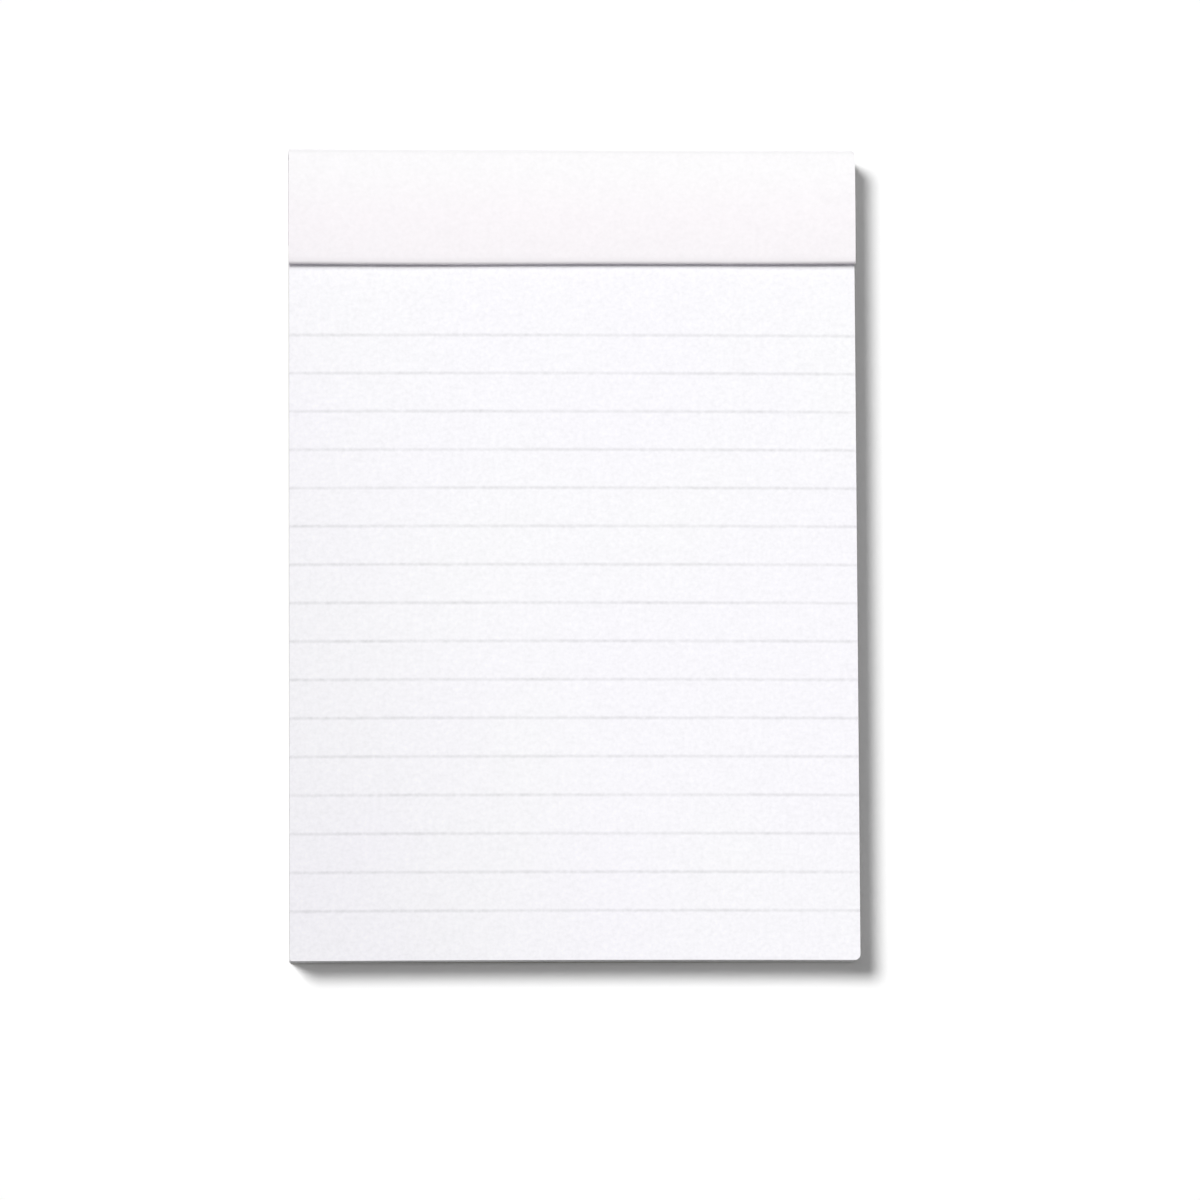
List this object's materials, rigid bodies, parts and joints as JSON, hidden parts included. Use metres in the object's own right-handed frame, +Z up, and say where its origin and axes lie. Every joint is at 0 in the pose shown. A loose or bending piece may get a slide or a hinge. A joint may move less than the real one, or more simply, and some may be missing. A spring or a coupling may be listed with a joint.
{
  "type": "notepad",
  "caption": "Small white notepad bound at its head: a block of ruled sheets on a stiff backing board, under a folded card header that rolls over and hides the staples.",
  "frame": {"origin": "middle of the pad's outline, on the plane that it rests on", "axes": "+X across the pad to the reader's right, +Y to the bound head, +Z up out of the written face"},
  "size_m": [0.1036, 0.148, 0.0113],
  "materials": {
    "page_paper": "smooth uncoated white paper with faint grey ruling",
    "greyboard": "grey recycled board with flecks",
    "header_card": "smooth white card, slightly satin",
    "staple_wire": "galvanised stitching wire"
  },
  "bodies": {
    "root": {"sheet_block": "page_paper", "backing_board": "greyboard", "header_strip": "header_card", "staple_left": "staple_wire", "staple_right": "staple_wire"}
  },
  "joints": []
}
